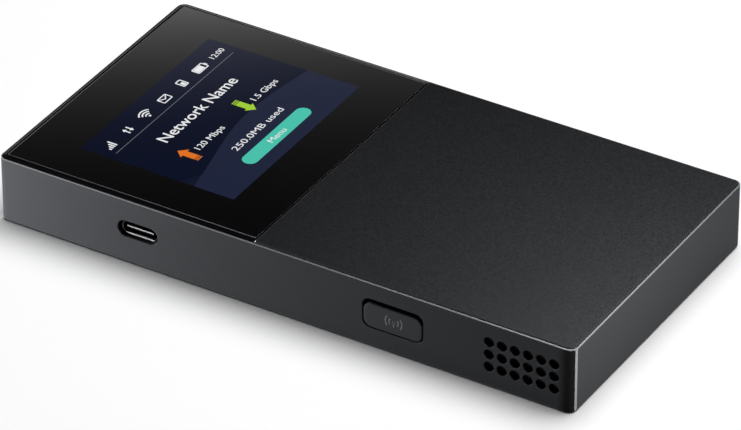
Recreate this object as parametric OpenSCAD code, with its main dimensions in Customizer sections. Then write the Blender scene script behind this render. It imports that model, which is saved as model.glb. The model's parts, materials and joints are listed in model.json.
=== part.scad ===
// Pocket mobile hotspot: a flat slab with a glass display half and a matte half,
// built as the separate pieces it comes apart into on a bench.
// Frame: origin at the middle of the underside, +X along the length (the display
// is at the -X end), -Y the long side with the ports, +Z up. Millimetres.

/* [Body] */
// Length of the case, end to end
body_l = 138; // [136:0.5:142]
// Width of the case across the ports
body_w = 71.5; // [70.5:0.5:74]
// Overall height, underside to the top of the glass
body_h = 15.8; // [15.6:0.1:16.4]
// Radius of the four upright corners
corner_r = 1.8; // [1.6:0.1:2.4]
// Wall thickness of the side frame
wall = 1.6; // [1.4:0.1:1.8]
// Radius of the frame's lower outer edge
foot_r = 0.6; // [0.3:0.1:0.8]

/* [Top] */
// How far the glass stands above the frame's top edge
crown_h = 0.4; // [0.3:0.05:0.5]
// Width of the curved edge of the glass
crown_w = 1.3; // [0.8:0.1:1.3]
// Thickness of the display glass
glass_t = 1.1; // [0.8:0.1:1.1]
// Length of the glass, from the -X end of the frame to the seam
glass_l = 62.65; // [61:0.1:64]
// How far the matte cover lies below the glass
cover_step = 0.08; // [0:0.02:0.2]
// Width of the frame's lip around the top pieces
lip_w = 0.35; // [0.3:0.05:0.5]
// Gap between neighbouring outer pieces
seam = 0.15; // [0.05:0.05:0.2]

/* [Display] */
// Middle of the lit area along X
screen_x = -36.8; // [-38:0.1:-35]
// Middle of the lit area along Y
screen_y = 0.6; // [-1:0.1:2]
// Short side of the display module
module_l = 42.5; // [40:0.5:44]
// Long side of the display module
module_w = 59.5; // [56:0.5:60]

/* [Ports] */
// Height of the charging port's middle above the underside
usb_z = 8.33; // [8.1:0.01:8.35]
// Middle of the charging port along X
usb_x = -34.4; // [-38:0.1:-30]
// Width of the charging port's opening
usb_open_w = 9.8; // [9.6:0.1:10.4]
// Height of the charging port's opening
usb_open_h = 3.95; // [3.8:0.05:4.2]
// Middle of the antenna flap along X
flap_x = 27; // [25:0.1:28]
// Width of the antenna flap
flap_w = 14.1; // [13.8:0.1:14.4]
// Height of the antenna flap
flap_h = 5.8; // [5.6:0.1:6]
// Height of the flap's lower edge above the underside
flap_z = 4.6; // [4.5:0.05:4.8]
// Depth of the finger notch above the flap
notch_h = 1.15; // [0.9:0.05:1.3]
// Radius of the antenna sockets' bore
socket_r = 1.5; // [1.4:0.05:1.6]
// Distance between the two antenna sockets
socket_pitch = 7.2; // [6.8:0.1:7.6]

/* [Vents] */
// Diameter of one vent hole
vent_d = 2.35; // [1.8:0.05:2.6]
// Distance between vent holes
vent_pitch = 3; // [2.9:0.05:3.1]
// Columns of vent holes
vent_cols = 6; // [3:1:6]
// Rows of vent holes
vent_rows = 3; // [1:1:3]
// Middle of the vent field along X
vent_x = 57; // [56:0.5:57]

/* [Battery] */
// Length of the battery pack
battery_l = 66; // [60:1:66]
// Width of the battery pack
battery_w = 52; // [48:1:52]
// Thickness of the battery pack
battery_t = 6.4; // [5.5:0.1:6.4]

/* [Hidden] */
$fn = 48;
eps = 0.01;

// Heights of the stack, from the underside up
frame_top = body_h - crown_h;
glass_z = body_h - glass_t;
ledge_z = glass_z - 0.4;
cover_top = body_h - cover_step;
rear_t = 1.2;
door_t = 0.9;
battery_z = 1.35;
deck_z = 8;
deck_t = 0.8;
board_z = 10;
board_t = 0.8;
board_top = board_z + board_t;
lcd_z = 12.1;

// Outlines
front_y = -body_w / 2;
inner_l = body_l - 2 * wall;
inner_w = body_w - 2 * wall;
top_inset = lip_w + seam;
top_l = body_l - 2 * top_inset;
top_w = body_w - 2 * top_inset;
top_r = corner_r - top_inset;
seam_x = glass_l - body_l / 2;
rear_inset = 0.9;
rear_gap = 0.1;

// Battery bay and door
bay_x = -25;
bay_wall = 2.2;
battery_x = bay_x - 1;
bay_l = battery_l + 4;
bay_w = battery_w + 3;
door_l = bay_l + 2 * bay_wall + 1.6;
door_w = bay_w + 2 * bay_wall + 1.6;
door_r = 3;
tab_xs = [-24, 24];

// Screws: six through the rear cover, four through the board
case_screw_xy = [[-64.9, 30], [-64.9, -30], [17.5, 30.6], [17.5, -30.6], [64.4, 30.4], [64.4, -30.4]];
board_screw_xy = [[-61.5, 29.5], [-61.5, -29.5], [39.5, 30.5], [39.5, -29.5]];
screw_r = 0.8;
screw_head_r = 1.55;

// Modem over the board and heat sink under it, along X
modem_x = 37;
sink_x = 54;

// Side controls on the +Y wall, level with the middle of the vent fields
vent_z = 7.8;
button_x = -40;
button_w = 11;
button_h = 3;
button_z = vent_z;
reset_x = -24;
reset_r = 0.75;
sim_x = 4;
sim_z = 9.25;

// Film antennas on the inner walls, and the leads that feed them
wifi_x = -12;
antenna_top = board_z - 0.1;
lead_z = board_z - 0.65;
lead_r = 0.45;

// Antenna sockets behind the flap
flap_t = 1.3;
flap_r = 1.9;
pocket_depth = 2.2;
socket_z = 7.9;
socket_wall = 0.6;
socket_l = 7;
socket_free = 3;
pocket_y = front_y + pocket_depth;
pocket_play = 0.12;
socket_xs = [flap_x - socket_pitch / 2, flap_x + socket_pitch / 2];

// Plain shapes ---------------------------------------------------------------

// Rounded rectangle from exact squares and circles
module rounded(l, w, r) {
    union() {
        square([l - 2 * r, w], center = true);
        square([l, w - 2 * r], center = true);
        for (sx = [-1, 1], sy = [-1, 1])
            translate([sx * (l / 2 - r), sy * (w / 2 - r)]) circle(r);
    }
}

// Flat plate with rounded corners, its lower face at z
module plate(l, w, r, z, t) {
    translate([0, 0, z]) linear_extrude(t) rounded(l, w, r);
}

// Box centred in X and Y, its lower face at z
module block(x, y, z, l, w, t) {
    translate([x - l / 2, y - w / 2, z]) cube([l, w, t]);
}

// Sweeps a 2D profile round a rounded rectangle; x = r is its outer face
module rim(l, w, r) {
    hx = l / 2 - r;
    hy = w / 2 - r;
    for (s = [0, 180]) {
        rotate([0, 0, s]) translate([hx, 0, 0]) rotate([90, 0, 0])
            linear_extrude(2 * hy, center = true) children();
        rotate([0, 0, s + 90]) translate([hy, 0, 0]) rotate([90, 0, 0])
            linear_extrude(2 * hx, center = true) children();
    }
    for (c = [[hx, hy, 0], [-hx, hy, 90], [-hx, -hy, 180], [hx, -hy, 270]])
        translate([c[0], c[1], 0]) rotate([0, 0, c[2]]) rotate_extrude(angle = 90) children();
}

// Cylinder along +Y from y0, centred on x and z
module y_rod(x, y0, z, r, l) {
    translate([x, y0, z]) rotate([-90, 0, 0]) cylinder(h = l, r = r);
}

// Slot along +Y with round ends in X, centred on x and z
module y_slot(x, y0, z, w, h, l, r) {
    translate([x, y0 + l, z]) rotate([90, 0, 0]) linear_extrude(l) rounded(w, h, r);
}

// Side frame -----------------------------------------------------------------

// Field of vent holes through one long wall
module vent_holes(side) {
    for (i = [0:vent_cols - 1], j = [0:vent_rows - 1])
        y_rod(
            vent_x + (i - (vent_cols - 1) / 2) * vent_pitch,
            side * body_w / 2 - wall - 1,
            vent_z + (j - (vent_rows - 1) / 2) * vent_pitch,
            vent_d / 2, wall + 2
        );
}

module side_frame() {
    chamfer = 0.12;
    color("#35373a") difference() {
        union() {
            difference() {
                plate(body_l, body_w, corner_r, 0, frame_top);
                plate(inner_l, inner_w, 0.6, -1, body_h + 2);
                // Seats for the rear cover and for the top pieces
                plate(body_l - 2 * rear_inset, body_w - 2 * rear_inset, 0.9, -1, rear_t + 1);
                plate(body_l - 2 * lip_w, body_w - 2 * lip_w, corner_r - lip_w, ledge_z, 3);
                // Rounded lower edge and fine chamfer on the lip
                rim(body_l, body_w, corner_r) difference() {
                    translate([corner_r - foot_r, -1]) square([foot_r + 1, foot_r + 1]);
                    translate([corner_r - foot_r, foot_r]) circle(foot_r);
                }
                rim(body_l, body_w, corner_r) polygon([
                    [corner_r - chamfer, frame_top + eps], [corner_r + 1, frame_top + eps],
                    [corner_r + 1, frame_top - chamfer], [corner_r, frame_top - chamfer]
                ]);
            }
            // Block behind the antenna pocket
            block(flap_x, front_y + 3, 3.3, flap_w + 4, 3, 9.4);
            // Raised seat behind the power button
            block(button_x, -front_y - wall - 0.4 + eps, button_z - 3, button_w + 3, 0.8, 6);
        }
        // Charging port
        y_slot(usb_x, front_y - 1, usb_z, usb_open_w, usb_open_h, wall + 2, usb_open_h / 2 - eps);
        // Antenna pocket with the finger notch along its top
        y_slot(
            flap_x, front_y - 1, flap_z + (flap_h + notch_h - pocket_play) / 2,
            flap_w + 0.3, flap_h + notch_h + pocket_play, pocket_depth + 1, flap_r
        );
        for (x = socket_xs)
            y_rod(x, front_y, socket_z, socket_r + socket_wall + 0.1, 6);
        vent_holes(-1);
        vent_holes(1);
        // Power button, reset hole and card slot
        y_slot(button_x, -front_y - 4, button_z, button_w + 0.3, button_h + 0.3, 5, button_h / 2);
        y_rod(reset_x, -front_y - wall - 1, button_z, reset_r, wall + 2);
        y_slot(sim_x, -front_y - wall - 1, sim_z, 13.2, 2.2, wall + 2, 1);
    }
}

// Top pieces -----------------------------------------------------------------

// Everything on the display side of the seam
module glass_side() {
    block(seam_x - body_l / 2 - seam / 2, 0, -1, body_l, 2 * body_w, body_h + 3);
}

module top_cover() {
    edge_r = 0.3;
    color("#3a3b3d") difference() {
        union() {
            plate(top_l, top_w, top_r, ledge_z, cover_top - ledge_z);
            // Skirt that locates the cover inside the frame
            difference() {
                plate(inner_l - 0.2, inner_w - 0.2, 0.5, ledge_z - 1.2, 1.2 + eps);
                plate(inner_l - 2.2, inner_w - 2.2, 0.5, ledge_z - 2, 3);
            }
        }
        translate([seam_x - body_l + seam / 2, -body_w, -1]) cube([body_l, 2 * body_w, body_h + 2]);
        rim(top_l, top_w, top_r) difference() {
            translate([top_r - edge_r, cover_top - edge_r]) square(edge_r + 1);
            translate([top_r - edge_r, cover_top - edge_r]) circle(edge_r);
        }
        // Lightening pocket under the plate
        block(32, 0, ledge_z - 1, 62, 60, 1.25);
    }
}

module cover_glass() {
    crown_r = (crown_w * crown_w + crown_h * crown_h) / (2 * crown_h);
    color("#0b0c0e") intersection() {
        difference() {
            plate(top_l, top_w, top_r, glass_z, glass_t);
            rim(top_l, top_w, top_r) difference() {
                translate([top_r - crown_w, frame_top]) square([crown_w + 1, 1]);
                translate([top_r - crown_w, body_h - crown_r]) circle(crown_r, $fn = 96);
            }
        }
        glass_side();
    }
}

module glass_adhesive() {
    bead_w = 1.2;
    bead_x0 = -top_l / 2 + 0.15;
    bead_x1 = seam_x - 0.4;
    // The bead along the seam is twice as wide
    hole_l = bead_x1 - bead_x0 - 3 * bead_w;
    color("#202124") difference() {
        intersection() {
            plate(2 * -bead_x0, top_w - 0.3, top_r, ledge_z + 0.02, 0.36);
            translate([-0.4, 0, 0]) glass_side();
        }
        block(bead_x0 + bead_w + hole_l / 2, 0, 0, hole_l, top_w - 0.3 - 2 * bead_w, body_h);
    }
}

module touch_sensor() {
    color("#2a2f36") block(screen_x, 0, glass_z - 0.22, 53, 64, 0.2);
}

// Display --------------------------------------------------------------------

module lcd_panel() {
    color("#10131c") block(screen_x, screen_y, lcd_z + 1.25, module_l - 1.5, module_w - 2, 1);
}

module lcd_backlight() {
    color("#e8eaec") difference() {
        block(screen_x, screen_y, lcd_z, module_l - 0.4, module_w - 0.4, 1.2);
        block(screen_x, screen_y, lcd_z + 0.9, module_l - 3, module_w - 4, 1);
    }
}

module display_frame() {
    frame_l = 59.6;
    frame_w = 66;
    frame_x = seam_x - 0.7 - frame_l / 2;
    color("#9a9da1") difference() {
        block(frame_x, 0, lcd_z - 0.5, frame_l, frame_w, ledge_z - lcd_z + 0.5);
        block(screen_x, screen_y, lcd_z - 0.05, module_l, module_w, 5);
        // Hollow between the outer wall and the wall round the module
        difference() {
            block(frame_x, 0, lcd_z, frame_l - 1, frame_w - 1, 1.7);
            block(screen_x, screen_y, lcd_z - 1, module_l + 1, module_w + 1, 4);
        }
        // Slot for the flex
        block(screen_x + module_l / 2, -6, lcd_z - 1, 1.6, 16, 5);
    }
}

module display_flex() {
    x0 = screen_x + module_l / 2;
    color("#c98a2b") union() {
        block(x0 + 0.25, -6, board_top, 0.15, 14, lcd_z - board_top + 0.6);
        block(x0 + 3.1, -6, board_top, 5.8, 14, 0.15);
        block(x0 + 4.4, -6, board_top + 0.15, 3, 12, 0.6);
    }
}

// Chassis and rear -----------------------------------------------------------

module chassis() {
    color("#4a4d50") difference() {
        union() {
            // Deck above the battery and out to both ends
            block(0, 0, deck_z, inner_l - 2, inner_w - 2.2, deck_t);
            // Walls of the battery bay
            difference() {
                block(bay_x, 0, door_t + 0.1, bay_l + 2 * bay_wall, bay_w + 2 * bay_wall, deck_z - door_t - 0.05);
                block(bay_x, 0, 0, bay_l, bay_w, deck_z);
            }
            for (p = case_screw_xy)
                translate([p[0], p[1], rear_t + 0.05]) cylinder(h = deck_z - rear_t, r = 1.9);
            for (p = board_screw_xy)
                translate([p[0], p[1], deck_z]) cylinder(h = board_z - deck_z, r = 1.9);
        }
        for (p = case_screw_xy)
            translate([p[0], p[1], 0]) cylinder(h = 7, r = screw_r + 0.1);
        for (p = board_screw_xy)
            translate([p[0], p[1], deck_z - 1]) cylinder(h = 4, r = screw_r + 0.1);
        // Windows: charging port, antenna sockets, card slot, controls, contacts, heat sink
        block(usb_x, front_y + 4.6, 5, 12.4, 8.4, 10);
        block(flap_x, front_y + 6, 2, 20, 12, 10);
        block(sim_x, -front_y - 10, deck_z - eps, 16.4, 19, 10);
        block(button_x, -front_y - 4, 5, 15, 7.4, 10);
        block(reset_x, -front_y - 4, 5, 8, 7.4, 10);
        block(bay_x + bay_l / 2 + 1.8, 0, 1.2, 6, 18.4, 9);
        block(53.4, 0, 1, 24, 56, 10);
    }
}

module rear_cover() {
    color("#2c2d30") difference() {
        plate(body_l - 2 * (rear_inset + rear_gap), body_w - 2 * (rear_inset + rear_gap), 0.8, 0, rear_t);
        translate([bay_x, 0, 0]) plate(door_l + 0.3, door_w + 0.3, door_r + 0.15, -1, 4);
        for (p = case_screw_xy)
            translate([p[0], p[1], 0]) {
                translate([0, 0, -1]) cylinder(h = 1 + 0.75, r = screw_head_r + 0.15);
                cylinder(h = 4, r = screw_r + 0.1);
            }
    }
}

module battery_door() {
    color("#2c2d30") union() {
        difference() {
            translate([bay_x, 0, 0]) plate(door_l, door_w, door_r, 0, door_t);
            // Finger notch for lifting the door
            translate([bay_x + door_l / 2, 0, -1]) cylinder(h = 1.45, r = 6);
        }
        // Snap tabs that stand inside the bay
        for (x = tab_xs, s = [-1, 1])
            block(bay_x + x, s * (bay_w / 2 - 0.6), door_t - eps, 6, 0.8, 2.1);
    }
}

// Battery --------------------------------------------------------------------

module battery_pack() {
    color("#26282b") difference() {
        translate([battery_x, 0, 0]) plate(battery_l, battery_w, 1.2, battery_z, battery_t);
        // Recess for the contact pads in the +X end, open at the top
        block(battery_x + battery_l / 2, 0, 2.6, 1.2, 12.4, 8);
        // Recess for the label on the underside
        block(battery_x, 0, battery_z - 1, battery_l - 6, battery_w - 6, 1.15);
    }
}

module battery_label() {
    color("#d8dadd") block(battery_x, 0, battery_z + 0.03, battery_l - 6.4, battery_w - 6.4, 0.1);
}

module battery_pads() {
    color("#d9b45a") for (i = [-1.5:1:1.5])
        block(battery_x + battery_l / 2 - 0.4, i * 3, 2.8, 0.38, 2.2, 3.4);
}

module battery_connector() {
    x0 = battery_x + battery_l / 2 + 2.6;
    color("#1b1c1e") difference() {
        block(x0 + 1.6, 0, 2.2, 3.2, 13, board_z - 2.2);
        for (i = [-1.5:1:1.5])
            block(x0, i * 3, 3.2, 2, 1.4, 3);
    }
}

module battery_springs() {
    x0 = battery_x + battery_l / 2;
    color("#d9b45a") for (i = [-1.5:1:1.5])
        union() {
            block(x0 + 1.3, i * 3, 5.4, 2.8, 1, 0.3);
            block(x0, i * 3, 3.6, 0.3, 1, 2.1);
            block(x0 + 1.3, i * 3, 3.6, 2.8, 1, 0.3);
        }
}

// Board ----------------------------------------------------------------------

module main_board() {
    color("#1e5b38") difference() {
        plate(inner_l - 6, inner_w - 3, 2, board_z, board_t);
        for (p = board_screw_xy)
            translate([p[0], p[1], board_z - 1]) cylinder(h = 3, r = screw_r + 0.2);
        // Notch round the block of the antenna pocket
        block(flap_x, -inner_w / 2, board_z - 1, flap_w + 4.6, 6.2, 3);
    }
}

module board_chips() {
    color("#151618") for (c = [
        [-48, -18, 9, 9], [-48, 2, 6, 8], [-30, -20, 5, 5], [-30, 10, 7, 5],
        [-20, 20, 4, 6], [0, 24, 5, 5], [60, 0, 4, 5], [60, 12, 3, 3]
    ])
        block(c[0], c[1], board_top, c[2], c[3], 0.75);
}

// Thin metal lid over part of the board, open underneath
module shield(x, y, l, w) {
    can_t = 0.2;
    can_h = 1.5;
    difference() {
        block(x, y, board_top, l, w, can_h);
        block(x, y, board_top - 1, l - 2 * can_t, w - 2 * can_t, can_h + 1 - can_t);
    }
}

module board_shields() {
    color("#b9bcc0") union() {
        shield(3, -14, 18, 26);
        shield(3, 8, 18, 14);
    }
}

module modem_module() {
    color("#c3c6ca") union() {
        block(modem_x, 0, board_top, 42, 31, 0.8);
        block(modem_x, 0, board_top + 0.8 - eps, 40, 29, 1.3);
    }
}

module thermal_pads() {
    color("#7fa6b8") union() {
        block(modem_x, 0, board_top + 2.12, 30, 24, 0.4);
        block(sink_x, 0, board_z - 0.12, 14, 30, 0.1);
    }
}

module heat_spreader() {
    color("#3c3e42") block(32, 0, board_top + 2.54, 56, 56, 0.25);
}

module heat_sink() {
    fins = 8;
    fin_t = 0.8;
    fin_pitch = 2.6;
    sink_w = 52;
    color("#a8abaf") union() {
        block(sink_x, 0, board_z - 1, 20, sink_w, 0.85);
        for (i = [0:fins - 1])
            block(sink_x + (i - (fins - 1) / 2) * fin_pitch, 0, 2.2, fin_t, sink_w, board_z - 1 - 2.2 + eps);
    }
}

// Antennas -------------------------------------------------------------------

module cellular_antennas() {
    color("#b8812c") for (sx = [-1, 1], sy = [-1, 1])
        block(sx * (inner_l / 2 - 0.25), sy * 17.5, 2.2, 0.2, 26, antenna_top - 2.2);
}

module wifi_antennas() {
    color("#b8812c") for (s = [-1, 1])
        block(wifi_x, s * (inner_w / 2 - 0.25), 2.4, 15, 0.2, antenna_top - 2.4);
}

// Each lead runs straight from its board connector to its antenna
function end_lead(sx, sy) =
    let (y = sy * (sx < 0 ? 13 : 30.2))
    [[sx * 52, y], [sx * (inner_l / 2 - 0.36), y]];
function side_lead(s) = [[wifi_x, s * 27.4], [wifi_x, s * (inner_w / 2 - 0.36)]];
function leads() = concat(
    [for (sx = [-1, 1], sy = [-1, 1]) end_lead(sx, sy)],
    [for (s = [-1, 1]) side_lead(s)]
);

module antenna_leads() {
    color("#1a1a1c") for (run = leads()) {
        d = run[1] - run[0];
        translate([run[0][0], run[0][1], lead_z]) rotate([0, 90, atan2(d[1], d[0])])
            cylinder(h = norm(d), r = lead_r);
    }
}

module lead_connectors() {
    plug_r = 1;
    color("#d9b45a") for (run = leads()) {
        d = run[0] - run[1];
        at = run[0] + d / norm(d) * (plug_r + 0.1);
        translate([at[0], at[1], board_z - 0.9]) cylinder(h = 0.88, r = plug_r);
    }
}

module antenna_sockets() {
    color("#cfa653") for (x = socket_xs)
        difference() {
            union() {
                y_rod(x, pocket_y, socket_z, socket_r + socket_wall, socket_l);
                block(x, pocket_y + 5.6, socket_z - 2.1, 5, 3, board_z - socket_z + 2.08);
            }
            y_rod(x, pocket_y - 1, socket_z, socket_r, socket_free + 1);
            y_rod(x, pocket_y, socket_z, socket_r - 0.2, socket_l - 1);
        }
}

module socket_insulators() {
    color("#ece9e0") for (x = socket_xs)
        difference() {
            y_rod(x, pocket_y + socket_free + 0.02, socket_z, socket_r - 0.21, 2.8);
            y_rod(x, pocket_y + socket_free, socket_z, 0.45, 2);
        }
}

module socket_contacts() {
    color("#d9b45a") for (x = socket_xs)
        difference() {
            y_rod(x, pocket_y + socket_free + 0.3, socket_z, 0.44, 1.6);
            y_rod(x, pocket_y + socket_free, socket_z, 0.25, 1.4);
        }
}

module antenna_flap() {
    color("#33353a") union() {
        y_slot(flap_x, front_y + 0.03, flap_z + flap_h / 2, flap_w, flap_h, flap_t, flap_r);
        // Rib that grips between the sockets
        block(flap_x, front_y + flap_t + 0.3, flap_z + 2.2, 2.2, 0.6, 2.2);
    }
}

module flap_strap() {
    y0 = front_y + flap_t + 0.06;
    color("#33353a") block(flap_x, (y0 + pocket_y) / 2, flap_z + 0.15, 3.4, pocket_y - y0, 0.7);
}

// Charging port --------------------------------------------------------------

module usb_shell() {
    shell_w = 8.94;
    shell_h = 3.26;
    shell_t = 0.3;
    color("#b7babd") difference() {
        y_slot(usb_x, front_y + 0.9, usb_z, shell_w, shell_h, 7.35, shell_h / 2 - eps);
        y_slot(
            usb_x, front_y, usb_z, shell_w - 2 * shell_t, shell_h - 2 * shell_t, 7,
            shell_h / 2 - shell_t - eps
        );
    }
}

module usb_tongue() {
    color("#17181a") union() {
        y_slot(usb_x, front_y + 5.6, usb_z, 8.2, 2.5, 1.4, 1.2);
        block(usb_x, front_y + 3.4, usb_z - 0.35, 6.6, 4.5, 0.7);
    }
}

module usb_contacts() {
    color("#d9b45a") for (i = [-5.5:1:5.5], s = [-1, 1])
        block(usb_x + i * 0.5, front_y + 3.2, usb_z + s * 0.39 - 0.03, 0.28, 3.2, 0.06);
}

// Controls -------------------------------------------------------------------

module power_button() {
    color("#3b3d41") union() {
        y_slot(button_x, -front_y - 1.5, button_z, button_w, button_h, 1.45, button_h / 2 - eps);
        // Flange that keeps the button in, and the post that presses the switch
        block(button_x, -front_y - 2.95, button_z - 2.05, button_w + 1.6, 0.6, 4.1);
        block(button_x, -front_y - 2.4, button_z - 1, button_w - 2, 2, 2);
        y_rod(button_x, -front_y - 4.2, button_z, 0.8, 1.2);
    }
}

module power_switch() {
    color("#c9ccd0") union() {
        block(button_x, -front_y - 6.2, button_z - 1.5, 4.5, 2.6, board_z - button_z + 1.48);
        y_rod(button_x, -front_y - 4.95, button_z, 0.9, 0.32);
    }
}

module reset_plunger() {
    color("#202124") union() {
        y_rod(reset_x, -front_y - 3, button_z, reset_r - 0.1, 2.4);
        y_rod(reset_x, -front_y - 2.4, button_z, 1.4, 0.6);
    }
}

module reset_switch() {
    color("#c9ccd0") union() {
        block(reset_x, -front_y - 5, button_z - 1.4, 3.6, 2.2, board_z - button_z + 1.38);
        y_rod(reset_x, -front_y - 3.95, button_z, 0.6, 0.5);
    }
}

// SIM card -------------------------------------------------------------------

module sim_tray() {
    color("#3b3d41") difference() {
        union() {
            y_slot(sim_x, -front_y - 1.5, sim_z, 12.9, 1.9, 1.45, 0.9);
            block(sim_x, -front_y - 9, sim_z - 0.5, 10.8, 15.2, 1);
        }
        // Pocket for the card, and a lip along its underside
        block(sim_x, -front_y - 10, sim_z - 0.2, 9, 12.5, 2);
        block(sim_x, -front_y - 10, sim_z - 2, 7.4, 11, 3);
        // Nail slot in the cap
        y_slot(sim_x, -front_y - 0.5, sim_z, 5, 0.6, 2, 0.29);
    }
}

module sim_card() {
    color("#e9e9e4") block(sim_x, -front_y - 10, sim_z - 0.19, 8.8, 12.3, 0.67);
}

module sim_socket() {
    color("#b9bcc0") difference() {
        block(sim_x, -front_y - 10.4, sim_z - 1, 12.6, 15, board_z - sim_z + 0.98);
        block(sim_x, -front_y - 9.5, sim_z - 0.65, 11.2, 15.4, 1.3);
    }
}

// Trim and fasteners ---------------------------------------------------------

module vent_screens() {
    field_w = vent_cols * vent_pitch + 1;
    field_h = vent_rows * vent_pitch + 1;
    color("#0e0f10") for (s = [-1, 1])
        block(vent_x, s * (inner_w / 2 - 0.2), vent_z - field_h / 2, field_w, 0.3, field_h);
}

// Countersunk screw with a cross recess, head down at z
module screw(z, head_t, length) {
    difference() {
        union() {
            translate([0, 0, z]) cylinder(h = head_t, r = screw_head_r);
            translate([0, 0, z + head_t - eps]) cylinder(h = length, r = screw_r);
        }
        for (a = [0, 90])
            rotate([0, 0, a]) block(0, 0, z - 1, 1.7, 0.4, 1.35);
    }
}

module case_screws() {
    color("#8d9094") for (p = case_screw_xy)
        translate([p[0], p[1], 0]) screw(0.12, 0.6, 5.6);
}

module board_screws() {
    color("#8d9094") for (p = board_screw_xy)
        translate([p[0], p[1], board_top + 0.7]) rotate([180, 0, 0]) screw(0, 0.68, 3);
}

side_frame();
top_cover();
cover_glass();
glass_adhesive();
touch_sensor();
lcd_panel();
lcd_backlight();
display_frame();
display_flex();
chassis();
rear_cover();
battery_door();
battery_pack();
battery_label();
battery_pads();
battery_connector();
battery_springs();
main_board();
board_chips();
board_shields();
modem_module();
thermal_pads();
heat_spreader();
heat_sink();
cellular_antennas();
wifi_antennas();
antenna_leads();
lead_connectors();
antenna_sockets();
socket_insulators();
socket_contacts();
antenna_flap();
flap_strap();
usb_shell();
usb_tongue();
usb_contacts();
power_button();
power_switch();
reset_plunger();
reset_switch();
sim_tray();
sim_card();
sim_socket();
vent_screens();
case_screws();
board_screws();
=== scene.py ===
# %% [markdown]
# # A pocket mobile hotspot
#
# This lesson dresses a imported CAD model. The CAD file already holds every part in
# its right place, so nothing here moves or resizes it. We give each part a finish,
# and we rebuild the outer shells with rounded edges, because light shows a case
# mostly by its edges.

# %% Load the frame
import json
import math

import bmesh
import bpy
import numpy as np
from mathutils import Matrix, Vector
from mathutils.geometry import delaunay_2d_cdt


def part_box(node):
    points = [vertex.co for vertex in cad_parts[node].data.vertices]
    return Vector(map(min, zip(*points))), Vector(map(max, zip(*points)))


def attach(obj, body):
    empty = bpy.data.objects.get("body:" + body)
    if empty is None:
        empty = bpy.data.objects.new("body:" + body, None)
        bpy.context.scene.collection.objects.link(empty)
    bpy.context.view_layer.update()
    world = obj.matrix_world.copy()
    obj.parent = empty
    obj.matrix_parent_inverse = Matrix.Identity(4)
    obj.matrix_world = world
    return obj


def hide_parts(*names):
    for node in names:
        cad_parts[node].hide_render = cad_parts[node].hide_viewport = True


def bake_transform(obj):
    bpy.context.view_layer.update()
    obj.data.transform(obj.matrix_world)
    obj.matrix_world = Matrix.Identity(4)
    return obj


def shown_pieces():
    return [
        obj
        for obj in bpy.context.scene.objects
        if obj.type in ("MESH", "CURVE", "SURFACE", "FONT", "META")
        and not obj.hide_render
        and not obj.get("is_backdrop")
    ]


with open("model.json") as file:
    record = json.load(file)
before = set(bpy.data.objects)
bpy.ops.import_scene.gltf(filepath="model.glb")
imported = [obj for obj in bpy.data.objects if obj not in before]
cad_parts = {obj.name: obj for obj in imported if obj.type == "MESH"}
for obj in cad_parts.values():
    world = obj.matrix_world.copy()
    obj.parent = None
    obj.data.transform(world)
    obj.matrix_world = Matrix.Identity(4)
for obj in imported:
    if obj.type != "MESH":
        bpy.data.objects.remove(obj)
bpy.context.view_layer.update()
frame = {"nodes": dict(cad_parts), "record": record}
MM = 0.001

# %% [markdown]
# ## Measures from the frame
# Lengths below are in millimetres, like the CAD. A node's box gives where it lies,
# so the new pieces follow the CAD wherever it puts its parts.

# %% Boxes of CAD nodes in millimetres


def cad_box(node):
    """Lowest and highest corner of a CAD node, in millimetres."""
    low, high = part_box(node)
    return np.array(low) / MM, np.array(high) / MM


frame_low, frame_high = cad_box("side_frame")
FRONT = frame_low[1]
BACK = frame_high[1]
LENGTH, WIDTH, FRAME_TOP = frame_high - [frame_low[0], frame_low[1], 0]
print("side frame", LENGTH.round(2), "x", WIDTH.round(2), "x", FRAME_TOP.round(2))

# %% [markdown]
# ## The studio
# The camera looks down at a corner of the case through a long lens, so that far
# edges stay nearly parallel. Its place is worked out from an azimuth, an elevation
# and a distance round an aim point on the floor.

# %% Camera
AZIMUTH = math.radians(31.092)
ELEVATION = math.radians(33.809)
ROLL = math.radians(-0.136)
DISTANCE = 1.2523
LENS = 289.4
AIM = np.array([-0.002903, 0.005277, 0.0])


def matrix_of(axes, place):
    """4 by 4 matrix: its columns are three unit axes and a place."""
    return Matrix([[*row, at] for row, at in zip(np.stack(axes, 1), place)] + [[0, 0, 0, 1]])


back = np.array([
    math.sin(AZIMUTH) * math.cos(ELEVATION),
    -math.cos(AZIMUTH) * math.cos(ELEVATION),
    math.sin(ELEVATION),
])
sideways = np.array([math.cos(AZIMUTH), math.sin(AZIMUTH), 0.0])
right = math.cos(ROLL) * sideways + math.sin(ROLL) * np.cross(back, sideways)
camera_place = AIM + DISTANCE * back
camera_data = bpy.data.cameras.new("studio_camera")
camera_data.lens = LENS
camera_data.sensor_width = 36.0
camera_data.clip_start = 0.05
camera_data.clip_end = 20.0
camera = bpy.data.objects.new("studio_camera", camera_data)
camera.matrix_world = matrix_of([right, np.cross(back, right), back], camera_place)
bpy.context.scene.collection.objects.link(camera)
bpy.context.scene.camera = camera
print("camera at", camera_place.round(3))

# %% [markdown]
# ## Soft lights
# Each lamp is a softbox, an area lamp that gives soft shadows. One large overhead
# box lights the floor and the tops. Four smaller boxes close to the case rake its
# sides and its underside, so that each face has its own shade of grey. No box shows
# in a reflection: a reflector card further down does that job.

# %% Lamps


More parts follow.
